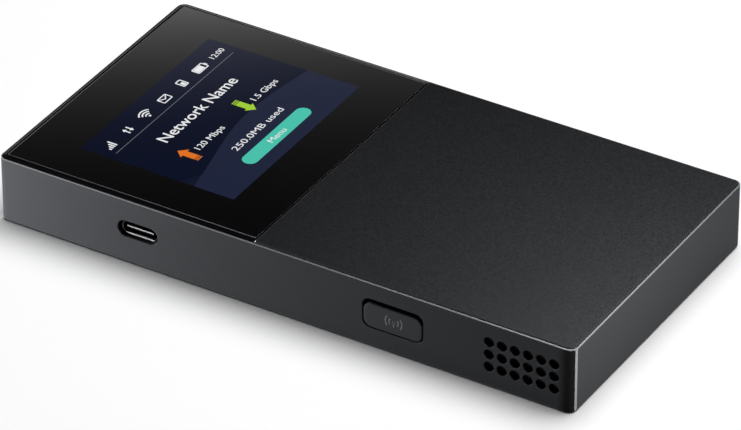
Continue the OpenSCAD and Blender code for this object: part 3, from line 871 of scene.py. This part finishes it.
def on_screen(p):
    """Screen right and up, and height above the glass, in the row frame."""
    return np.stack([SCREEN_X - p[..., 1], SCREEN_Y + p[..., 0], GLASS_TOP + p[..., 2]], -1)


def lit(name, colour):
    """A polished black surface that gives off one colour."""
    paint = polished(name, emission_strength=1.0, **UNLIT)
    dots = paint.noise(0.12, detail=0.0)
    return paint.set(emission_color=paint.mix(dots, shade(colour, 0.88), shade(colour, 1.12)))


def stroke(path, width):
    """Ribbon of even width along an open path: the path plus and minus half the width
    times its normal, the normals at corners lengthened so that the sides stay straight."""
    path = np.asarray(path, float)
    steps = np.diff(path, axis=0)
    steps /= np.linalg.norm(steps, axis=1, keepdims=True)
    turned = np.stack([-steps[:, 1], steps[:, 0]], 1)
    before = np.vstack([turned[:1], turned])
    after = np.vstack([turned, turned[-1:]])
    normal = (before + after) / (1 + (before * after).sum(1, keepdims=True))
    return np.vstack([path + normal * width / 2, (path - normal * width / 2)[::-1]])


def plates(shell, shapes, low, high):
    """Thin closed plates: each shape is a list of loops, its outline and then its holes."""
    for loops in shapes:
        for loop in loops:
            shell.wall(np.asarray(loop, float)[:, :2], low, high)
        shell.cap(loops[0], low, loops[1:])
        shell.cap(loops[0], high, loops[1:])
    return shell


def inlay(name, shapes, layer, paint):
    """Plates on the glass, up to one layer."""
    shell = plates(Shell(on_screen), shapes, -LAYER, layer * LAYER)
    return shell.finish(name, "root", "screen_glass", paint=paint)


backdrop = polished("display_ground", emission_strength=1.0, **UNLIT)
x, y, _ = backdrop.axes()
from_left = (y - SCREEN_Y) / SCREEN_U + 0.5
from_foot = (SCREEN_X - x) / SCREEN_V + 0.5
glow = (from_left * from_foot).step(0.25, 1.1)
dots = backdrop.noise(0.12, detail=0.0)
ground = backdrop.mix(glow, (0.0014, 0.0034, 0.0150), (0.0100, 0.0120, 0.0330))
backdrop.set(emission_color=backdrop.mix((dots - 0.5) * 0.1, ground, (0.02, 0.02, 0.03)))
inlay("display_ground", [[rounded_outline(SCREEN_U, SCREEN_V, 0.6)[0]]], 1, backdrop)

# %% [markdown]
# ## Hills on the display
# The horizon is a bell curve, v = base + height * exp(-((u - middle) / width)^2),
# with one width to the left of its middle and another to the right.

# %% Hills
half_u, half_v = SCREEN_U / 2, SCREEN_V / 2


def bell(u, base, height, middle, left, right):
    """Bell curve with its own width on each side of the middle."""
    width = np.where(u < middle, left, right)
    return base + height * np.exp(-((u - middle) / width) ** 2)


def hill(start, stop, heights):
    """Land from start to stop under a horizon, down to the lower edge of the display."""
    u = np.linspace(start, stop, 60)
    top = np.column_stack([u, heights(u)])
    return np.vstack([[[start, -half_v]], [[stop, -half_v]], top[::-1]])


far_land = hill(-half_u, 6.0, lambda u: bell(u, -19.0, 13.4, -28.0, 14.0, 16.0))
near_land = hill(-half_u, half_u, lambda u: bell(u, -11.0, 7.1, 5.0, 26.0, 33.0))
inlay("display_far_land", [[far_land]], 1.5, lit("display_far_land", (0.0036, 0.0062, 0.0200)))
inlay("display_near_land", [[near_land]], 2, lit("display_near_land", (0.0115, 0.0160, 0.0400)))

# %% [markdown]
# ## Signs on the display
# The signs are the plain ones that any such device shows: bars, arrows, rays, an
# envelope, a card and a battery. Each is a thin plate cut to a stroke or a ring.

# %% Signs along the top of the display
white = lit("display_white", (0.80, 0.81, 0.83))
dim = lit("display_dim", (0.17, 0.18, 0.20))
STATUS_LOW = 12.98


def ring(outline, width):
    """Outline and the same outline set in by a width, as a shape with a hole."""
    points, normals = outline
    return [points, points - normals * width]


bar_u = -22.2 + 0.68 * np.arange(4)
bar_top = STATUS_LOW + np.array([0.6, 1.15, 1.75, 2.4])
bars = [[rectangle(u - 0.2, u + 0.2, STATUS_LOW, top)] for u, top in zip(bar_u, bar_top)]


def up_arrow(u, low, high, shaft, head, head_l):
    """Arrow outline that points up; low may be above high, to point down."""
    neck = high - math.copysign(head_l, high - low)
    return [[
        (u - shaft / 2, low), (u + shaft / 2, low), (u + shaft / 2, neck), (u + head / 2, neck),
        (u, high), (u - head / 2, neck), (u - shaft / 2, neck),
    ]]


traffic = [
    up_arrow(-14.8, 13.1, 15.2, 0.34, 1.1, 0.8),
    up_arrow(-13.5, 15.2, 13.1, 0.34, 1.1, 0.8),
]
signal_dot = disc(0.6, (-7.1, 13.2), steps=4)[0]
rays = [[stroke(bend((-7.1, 13.1), r, 42, 138, 12), 0.34)] for r in (0.95, 1.7, 2.45)]
envelope = ring(rounded_outline(3.2, 2.2, 0.32, (0.05, 14.1), steps=3), 0.26)
fold = [stroke([(-1.4, 14.9), (0.05, 13.9), (1.5, 14.9)], 0.26)]
card_frame = ring(rounded_outline(1.9, 2.6, 0.36, (7.05, 14.25), steps=3), 0.3)
card_chip = [rectangle(6.6, 7.5, 13.35, 14.5)]
cell = ring(rounded_outline(3.9, 2.2, 0.3, (14.0, 14.1), steps=3), 0.26)
cell_nub = [rectangle(16.0, 16.3, 13.65, 14.55)]
charge = [rectangle(12.4, 14.9, 13.35, 14.85)]
status = [*bars, *traffic, [signal_dot], *rays, envelope, fold, card_frame, card_chip]
inlay("display_status", [*status, cell, cell_nub, charge], 4, white)
inlay("display_rule", [[rectangle(-23.0, 23.0, 11.34, 11.46)]], 3, dim)

# %% Arrows and the button
orange = lit("display_orange", (0.72, 0.165, 0.015))
lime = lit("display_lime", (0.34, 0.60, 0.035))
teal = lit("display_teal", (0.065, 0.52, 0.40))
ARROW_TOP, ARROW_LOW = 0.9, -4.75
SHAFT, HEAD_L, DASH = 1.8, 1.85, 0.28


def speed_arrow(name, u, low, high, head, dashes, paint):
    """Arrow with two dashes behind its shaft, at the heights that dashes lists."""
    tails = [[rectangle(u - SHAFT / 2, u + SHAFT / 2, v, v + DASH)] for v in dashes]
    inlay(name, [up_arrow(u, low, high, SHAFT, head, HEAD_L), *tails], 4, paint)


speed_arrow("display_up_arrow", -15.6, -3.75, ARROW_TOP, 3.4, (-4.2, -4.7), orange)
speed_arrow("display_down_arrow", 6.4, -0.1, ARROW_LOW, 3.3, (0.1, 0.6), lime)
pill = rounded_outline(24.5, 3.55, 1.77, (0.0, -13.83), steps=10)[0]
inlay("display_button", [[pill]], 4, teal)

# %% [markdown]
# ## Words on the display
# Blender makes text as a curve. Here the curve becomes a mesh first, then its
# points are stretched to a measured width and capital height, so the words take
# their place without a turned or scaled object.

# %% Words


def words(name, text, left, right, baseline, capital, layer, paint, bold=0.0):
    """Text between two u values: u and v are each stretched in proportion, height is flat."""
    curve = bpy.data.curves.new(name, "FONT")
    curve.body = text
    curve.extrude = 0.01
    curve.offset = bold
    curve.resolution_u = 4
    holder = bpy.data.objects.new(name + "_curve", curve)
    bpy.context.scene.collection.objects.link(holder)
    bpy.context.view_layer.update()
    mesh = bpy.data.meshes.new_from_object(holder)
    bpy.data.objects.remove(holder)
    points = np.empty(len(mesh.vertices) * 3, np.float32)
    mesh.vertices.foreach_get("co", points)
    points = points.reshape(-1, 3).astype(float)
    mesh.calc_loop_triangles()
    triangles = np.empty(len(mesh.loop_triangles) * 3, np.int32)
    mesh.loop_triangles.foreach_get("vertices", triangles)
    bpy.data.meshes.remove(mesh)
    low, high = points.min(0), points.max(0)
    u = left + (points[:, 0] - low[0]) / (high[0] - low[0]) * (right - left)
    v = baseline + points[:, 1] / high[1] * capital
    height = np.where(points[:, 2] > 0, layer * LAYER, -LAYER)
    shell = Shell(on_screen)
    shell.take(np.column_stack([u, v, height]), triangles.reshape(-1, 3))
    return shell.finish(name, "root", "screen_glass", paint=paint)


words("display_name", "Network Name", -14.1, 14.2, 4.45, 2.75, 4, white, bold=0.006)
words("display_clock", "12:00", 18.6, 23.1, 13.47, 1.38, 4, white)
words("display_up_speed", "120 Mbps", -12.9, -2.9, -2.94, 1.55, 4, white)
words("display_down_speed", "1.5 Gbps", 9.2, 18.3, -2.94, 1.55, 4, white)
words("display_used", "250.0MB used", -9.3, 9.5, -9.84, 1.6, 4, white)
words("display_menu", "Menu", -2.85, 3.05, -14.55, 1.5, 5, white)

# %% [markdown]
# ## Antenna flap
# The flap is a soft rubber plug with a rolled edge, a little crowned so that it is
# easy to feel. It hangs on a short strap. The strap is one straight strip from the
# back of the flap into the pocket, and it stays where it is when the flap swings down.

# %% Build the flap, its sign and its strap
flap_depth = flap_low[1] - FRONT
FLAP_THICK = 1.3
flap_back = flap_depth + FLAP_THICK
flap_w, _, flap_h = flap_high - flap_low
flap_outline = rounded_outline(flap_w, flap_h, POCKET_R, (FLAP_X, FLAP_Z))
flap_side = np.vstack([
    [-1.05, flap_depth], [-0.95, flap_depth],
    bend((-0.4, flap_depth + 0.42), 0.4, 270, 360, steps=6),
    [0, flap_depth + 0.9], [-0.12, flap_back - 0.12], [-0.24, flap_back],
])
plug = Shell(in_front)
plug.slab(flap_outline, flap_side)
rib = rounded_outline(2.2, 2.2, 0.3, (FLAP_X, flap_low[2] + 3.3), steps=4)
plug.slab(rib, side(flap_back - 0.02, flap_back + 0.56, 0.02, 0.2))
plug.finish("flap_plug", "antenna_flap", "flap_rubber", ["antenna_flap"])

ink = Paint("flap_ink")
speck = ink.noise(0.1, detail=1.0)
ink.tint(speck, (0.012, 0.012, 0.013), (0.022, 0.022, 0.023))
ink.set(roughness=0.5 + speck * 0.1)
sign_x, sign_z = FLAP_X + 0.2, FLAP_Z + 0.15
waves = [
    stroke(bend((sign_x, sign_z), r, t - 38, t + 38), 0.26) for r in (1.1, 1.95) for t in (0, 180)
]
mast = stroke([(sign_x, sign_z - 1.15), (sign_x, sign_z + 0.2)], 0.28)
mast_head = disc(0.66, (sign_x, sign_z), steps=4)[0]
INK_UP, INK_DOWN = 0.012, 0.01
marks = [[one] for one in [*waves, mast, mast_head]]
sign = plates(Shell(in_front), marks, flap_depth - INK_UP, flap_depth + INK_DOWN)
sign.finish("flap_sign", "antenna_flap", "flap_rubber", paint=ink)

strap_low, strap_high = cad_box("flap_strap")
strap_outline = rounded_outline(
    strap_high[0] - strap_low[0], 0.6, 0.2, (FLAP_X, (strap_low[2] + strap_high[2]) / 2), steps=4
)
strap_steps = np.linspace(flap_back - 0.08, POCKET + 0.05, 17)
strap = Shell(in_front)
strap.slab(strap_outline, np.column_stack([np.zeros(len(strap_steps)), strap_steps]))
strip = strap.finish("flap_strip", None, "flap_rubber", ["flap_strap"])
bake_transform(strip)

# %% [markdown]
# ## Charging port
# The receptacle is a drawn steel tube with a rolled mouth, and inside it stands a
# plastic tongue. Both are seen through the port opening, so both get their real
# edges. The thin bright lines in a port, along the lower lip and the tongue's front,
# are painted highlights: a lighter band in the colour of each. The steel is also
# darker than bare steel, as painted shade for the dark inside of the port.

# %% Build the receptacle and its tongue
shell_w, _, shell_h = usb_high - usb_low
mouth, tail = usb_low[1] - FRONT, usb_high[1] - FRONT
METAL = 0.3
# The port's steel is darker than bare steel: painted shade for the dark inside of the port.
PORT_STEEL = (0.10, 0.102, 0.105)
MOUTH_BAND, MOUTH_DEEP = 0.32, 0.5
tube_profile = np.vstack([
    [-0.2, tail], [0, tail - 0.2], [0, mouth + 0.1],
    bend((-METAL / 2, mouth + METAL / 2), METAL / 2, 360, 180, steps=6),
    [-METAL, mouth + 0.4], [-METAL, tail - 0.35],
])
tube = Shell(in_front)
tube.slab(rounded_outline(shell_w, shell_h, shell_h / 2 - 0.01, (USB_X, USB_Z)), tube_profile)
tube_paint = rolled("port_steel", PORT_STEEL, 0.36, lines=(1, 12, 1), size=0.08)
_, y, z = tube_paint.axes()
# Painted highlight: the lower lip of the mouth is a lighter, non-metal band.
mouth_lip_highlight = (1 - (z > USB_Z - shell_h / 2 + MOUTH_BAND)) * (1 - (y > usb_low[1] + MOUTH_DEEP))
tube_paint.tint(mouth_lip_highlight, PORT_STEEL, (0.05, 0.05, 0.052))
tube_paint.set(metallic=1 - mouth_lip_highlight)
tube.finish("port_shell", "root", "shell_steel", ["usb_shell"], paint=tube_paint)

tongue_low, tongue_high = cad_box("usb_tongue")
tip_depth = tongue_low[1] - FRONT
tongue = Shell(in_front)
blade = rounded_outline(6.6, 0.7, 0.3, (USB_X, USB_Z), steps=5)
tongue.slab(blade, side(tip_depth, tip_depth + 4.5, 0.15, 0.02))
root_block = rounded_outline(8.2, 2.5, 1.2, (USB_X, USB_Z))
tongue.slab(root_block, side(tip_depth + 4.45, tongue_high[1] - FRONT, 0.2, 0.05))
blade_paint = Paint("tongue_blade", specular_ior_level=0.1)
EDGE_DEEP, EDGE_HIGH = 0.16, 0.22
_, y, z = blade_paint.axes()
# Painted highlight: a light band along the top half of the tongue's front edge.
tongue_edge_highlight = (1 - (y > tongue_low[1] + EDGE_DEEP)) * (z > USB_Z) * (1 - (z > USB_Z + EDGE_HIGH))
grain = blade_paint.noise(0.2, detail=1.0)
blade_paint.tint(tongue_edge_highlight, (0.002, 0.002, 0.002), (0.05, 0.05, 0.052))
blade_paint.set(roughness=0.5 - tongue_edge_highlight * 0.15).bump(grain, 0.002)
tongue.finish("port_tongue", "root", "black_moulding", ["usb_tongue"], paint=blade_paint)

# %% [markdown]
# ## Buttons on the far side
# The power button is a pill-shaped cap with a rolled edge. The reset plunger is a
# small domed pin, which sits behind its pinhole.

# %% Build the power button and the reset plunger


def crowned(shell, outline, low, edge, deep):
    """Cap with a rolled edge, from the face at depth low down to depth deep."""
    profile = np.vstack([
        [-edge - SUPPORT, low], bend((-edge, low + edge), edge, 270, 360, steps=5),
        [0, low + edge + SUPPORT], [0, deep],
    ])
    shell.slab(outline, profile)


def box_shell(shell, x, z, width, height, low, high, edge=0.12):
    """Block with rounded edges, centred on x and z, between two depths."""
    shell.slab(rounded_outline(width, height, 2 * edge, (x, z), steps=3), side(low, high, edge, edge))


button_top = BACK - button_high[1]
button = Shell(in_back)
crowned(button, rounded_outline(11.0, 3.0, 1.48, (BUTTON_X, BUTTON_Z)), button_top, 0.28, 1.55)
box_shell(button, BUTTON_X, BUTTON_Z, 12.6, 4.1, 2.66, 3.24)
box_shell(button, BUTTON_X, BUTTON_Z, 9.0, 2.0, 1.45, 3.38)
crowned(button, disc(1.6, (BUTTON_X, BUTTON_Z), steps=5), 3.0, 0.1, 4.2)
button.finish("power_cap", "power_button", "button_plastic", ["power_button"])

nose = BACK - cad_box("reset_plunger")[1][1]
plunger = Shell(in_back)
crowned(plunger, disc(1.3, (RESET_X, BUTTON_Z), steps=6), nose, 0.3, 2.0)
crowned(plunger, disc(2.8, (RESET_X, BUTTON_Z), steps=6), 1.81, 0.1, 2.39)
plunger.finish("reset_pin", "reset_plunger", "black_moulding", ["reset_plunger"])

# %% [markdown]
# ## Card tray
# The tray's cap closes the slot flush with the wall and has a nail slot. Behind it
# the tray is a flat frame with a ledge that the card lies on.

# %% Build the card tray
cap_depth = BACK - sim_high[1]
tray = Shell(in_back)
nail = opening(tray, in_back, rounded_outline(5.0, 0.6, 0.29, (SIM_X, SIM_Z), steps=5), 0.06, 0.5)
# A hole's rim starts at the wall's face, and this one moves in to the cap's face.
for points in tray.points:
    points[:, 1] -= cap_depth
tray.cap(nail[1], 0.5 + cap_depth)
cap_side = np.vstack([
    [-0.15 - SUPPORT, cap_depth], bend((-0.15, cap_depth + 0.15), 0.15, 270, 360, steps=4),
    [0, cap_depth + 0.2], [0, 1.5],
])
tray.slab(rounded_outline(12.9, 1.9, 0.9, (SIM_X, SIM_Z)), cap_side, [nail[0]])
plate_low, ledge_z, plate_high = SIM_Z - 0.5, SIM_Z - 0.2, SIM_Z + 0.5
tray_outline = rounded_outline(10.8, 15.2, 0.8, (SIM_X, BACK - 9.0))
card_pocket = rounded_outline(9.0, 12.5, 0.5, (SIM_X, BACK - 10.0))[0]
window = rounded_outline(7.4, 11.0, 0.5, (SIM_X, BACK - 10.0))[0]
tray.slab(tray_outline, side(plate_low, plate_high, 0.08, 0.08), [window], [card_pocket], lying)
tray.cap(card_pocket, ledge_z, [window], lying)
tray.wall(card_pocket, ledge_z, plate_high, lying)
tray.wall(window, plate_low, ledge_z, lying)
tray.finish("card_tray", "sim_tray", "button_plastic", ["sim_tray"])

# %% [markdown]
# ## Underside
# The rear cover is screwed on and has a large opening for the battery door. The
# door is cut away round a finger notch at one end, so its lower layer follows an
# outline with a bite, and its upper layer follows the whole outline.

# %% Build the rear cover
rear_low, rear_high = cad_box("rear_cover")
door_high = cad_box("battery_door")[1]
DOOR_X = -25.0
HEAD_SEAT = 0.75
SCREWS = [(-64.9, 30.0), (-64.9, -30.0), (17.5, 30.6), (17.5, -30.6), (64.4, 30.4), (64.4, -30.4)]
rear = Shell()
gap_outline = rounded_outline(76.3, 61.3, 3.15, (DOOR_X, 0.0))
openings = [opening(rear, lying, gap_outline, 0.15, rear_high[2])]
for spot in SCREWS:
    head, seat = opening(rear, lying, disc(3.4, spot), 0.12, HEAD_SEAT)
    shank = carry(disc(1.8, spot), [[0, HEAD_SEAT], [0, rear_high[2]]])
    rear.grid(shank)
    rear.cap(seat, HEAD_SEAT, [shank[0]])
    openings.append((head, shank[-1]))
rear_l, rear_w, _ = rear_high - rear_low
rear_outline = rounded_outline(rear_l, rear_w, 0.8)
rear.slab(rear_outline, side(0.0, rear_high[2], 0.2, 0.05), *zip(*openings))
rear.finish("rear_plate", "root", "rear_plastic", ["rear_cover"])

# %% Build the battery door
NOTCH_R, NOTCH_TOP, DOOR_TOP = 6.0, 0.45, 0.9
door_edge_x = door_high[0]
door_points, door_normals = rounded_outline(76.0, 61.0, 3.0, (DOOR_X, 0.0))
bite = bend((door_edge_x, 0.0), NOTCH_R, 270, 90, steps=20)
bite_normals = (np.array([door_edge_x, 0.0]) - bite) / NOTCH_R
bite_normals[[0, -1]] = [[1, 1], [1, -1]]
bitten = np.vstack([door_points, bite]), np.vstack([door_normals, bite_normals])
lower = np.vstack([
    [-0.15 - SUPPORT, 0], bend((-0.15, 0.15), 0.15, -90, 0, steps=4), [0, 0.2], [0, NOTCH_TOP],
])
door = Shell()
rows = carry(bitten, lower)
door.grid(rows)
door.cap(rows[0], 0.0)
door.cap(bite, NOTCH_TOP)
whole = np.vstack([door_points, bite[[0, -1]]]), np.vstack([door_normals, [[1, 0], [1, 0]]])
rows = carry(whole, [[0, NOTCH_TOP], [0, DOOR_TOP]])
door.grid(rows)
door.cap(rows[-1], DOOR_TOP)
for x in (DOOR_X - 24, DOOR_X + 24):
    for y in (-26.9, 26.9):
        tab = rounded_outline(6.0, 0.8, 0.2, (x, y), steps=4)
        door.slab(tab, side(DOOR_TOP - 0.05, door_high[2], 0.02, 0.12))
door.finish("door_plate", "battery_door", "rear_plastic", ["battery_door"])

# %% [markdown]
# ## Floor
# The floor is a wide pale sheet, not part of the object. It lies a tenth of a
# millimetre low, so that it never coincides with the rear cover. Its material lets
# light through from below, so a look from underneath still shows that cover.

# %% Build the floor
floor_paint = Paint("floor_sheet", base_color=(0.9, 0.9, 0.9), roughness=0.5)
seen_below = floor_paint.add("ShaderNodeNewGeometry", output="Backfacing")
clear = floor_paint.add("ShaderNodeBsdfTransparent")
shader = Wire(floor_paint, floor_paint.shader.outputs[0])
both = floor_paint.add("ShaderNodeMixShader", None, {0: seen_below, 1: shader, 2: clear})
outlet = floor_paint.tree.nodes["Material Output"].inputs["Surface"]
floor_paint.plug(outlet, both)
FLOOR_HALF = 3.0
FLOOR_Z = -0.0001


def stage_sheet(name, corners, paint):
    """One flat face of the set through four corners, which isn't part of the object."""
    mesh = bpy.data.meshes.new(name)
    mesh.from_pydata([tuple(p) for p in corners], [], [(0, 1, 2, 3)])
    mesh.materials.append(paint.material)
    sheet = bpy.data.objects.new(name, mesh)
    bpy.context.scene.collection.objects.link(sheet)
    sheet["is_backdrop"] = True
    return sheet


square = rectangle(-FLOOR_HALF, FLOOR_HALF, -FLOOR_HALF, FLOOR_HALF)
stage_sheet("floor", np.column_stack([square, np.full(4, FLOOR_Z)]), floor_paint)
print("floor laid at", FLOOR_Z, "m")

# %% [markdown]
# ## Reflector card
# Black glass shows what stands behind the case. A glowing card fades to black
# towards its top, exp(-height / fade), so a soft pool of light lies over one corner
# of the glass. The card stands where a look at that corner goes after the bounce.

# %% Build the card
CARD_DISTANCE = 0.5
CARD_FADE = 0.0145
CARD_POWER = 1.35
CARD_LOW, CARD_HIGH, CARD_HALF = -0.006, 0.09, 0.3
corner = np.array([glass_low[0], glass_high[1], glass_high[2]]) * MM
sight = corner - camera_place
glance = sight / np.linalg.norm(sight) * [1, 1, -1]
along = np.cross(glance, [0.0, 0.0, 1.0])
along /= np.linalg.norm(along)
upward = np.cross(along, glance)
middle = corner + CARD_DISTANCE * glance
card_corners = rectangle(-CARD_HALF, CARD_HALF, CARD_LOW, CARD_HIGH) @ [along, upward] + middle
card_paint = Paint("reflector_card", base_color=(0.0, 0.0, 0.0), roughness=1.0,
                   emission_strength=CARD_POWER)
dot = {0: card_paint.position, 1: tuple(upward)}
height = card_paint.add("ShaderNodeVectorMath", {"operation": "DOT_PRODUCT"}, dot, "Value")
height = height - float(middle @ upward)
fall = height.math("MAXIMUM", height, 0.0) * (-1.0 / CARD_FADE)
fade = fall.math("EXPONENT", fall)
card_paint.set(emission_color=card_paint.mix(fade, (0.0, 0.0, 0.0), (1.0, 1.0, 1.0)))
card = stage_sheet("reflector_card", card_corners, card_paint)
card.visible_camera = False
print("card stands at", middle.round(3))

# %% [markdown]
# ## Four lamps for the object alone
# The near boxes shade the case from its left end, its right end, behind and below.
# If they also lit the floor, it would glare, so light linking lets only the object
# receive them and throw their shadows.

# %% Link the near boxes to the object
receivers = bpy.data.collections.new("object_pieces")
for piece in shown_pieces():
    receivers.objects.link(piece)
for lamp in near_boxes:
    lamp.light_linking.receiver_collection = receivers
    lamp.light_linking.blocker_collection = receivers
